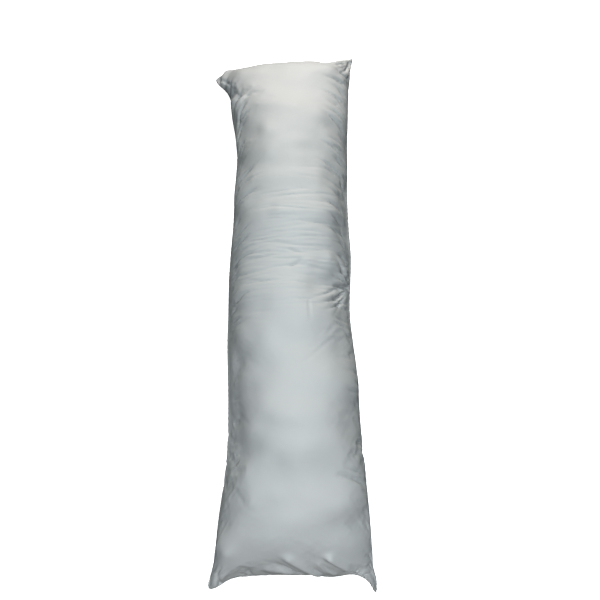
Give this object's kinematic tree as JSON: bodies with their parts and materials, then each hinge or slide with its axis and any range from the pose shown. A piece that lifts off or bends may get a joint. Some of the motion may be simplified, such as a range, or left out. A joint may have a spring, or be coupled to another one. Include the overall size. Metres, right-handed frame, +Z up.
{
  "type": "body pillow",
  "caption": "Long plump body pillow of smooth silver-grey cloth, lying on its back, with drawn-in sides, standing ears at the sewn corners and folds drawn to the seams.",
  "frame": {"origin": "middle of the footprint, on the surface that the pillow lies on", "axes": "+X across the pillow, +Y along it towards the head end, +Z up"},
  "size_m": [0.432, 1.4324, 0.1839],
  "materials": {
    "cover": "smooth closely woven microfibre with a soft sheen, silver grey, fine puckers along the seams"
  },
  "bodies": {
    "root": {"pillow": "cover"}
  },
  "joints": []
}
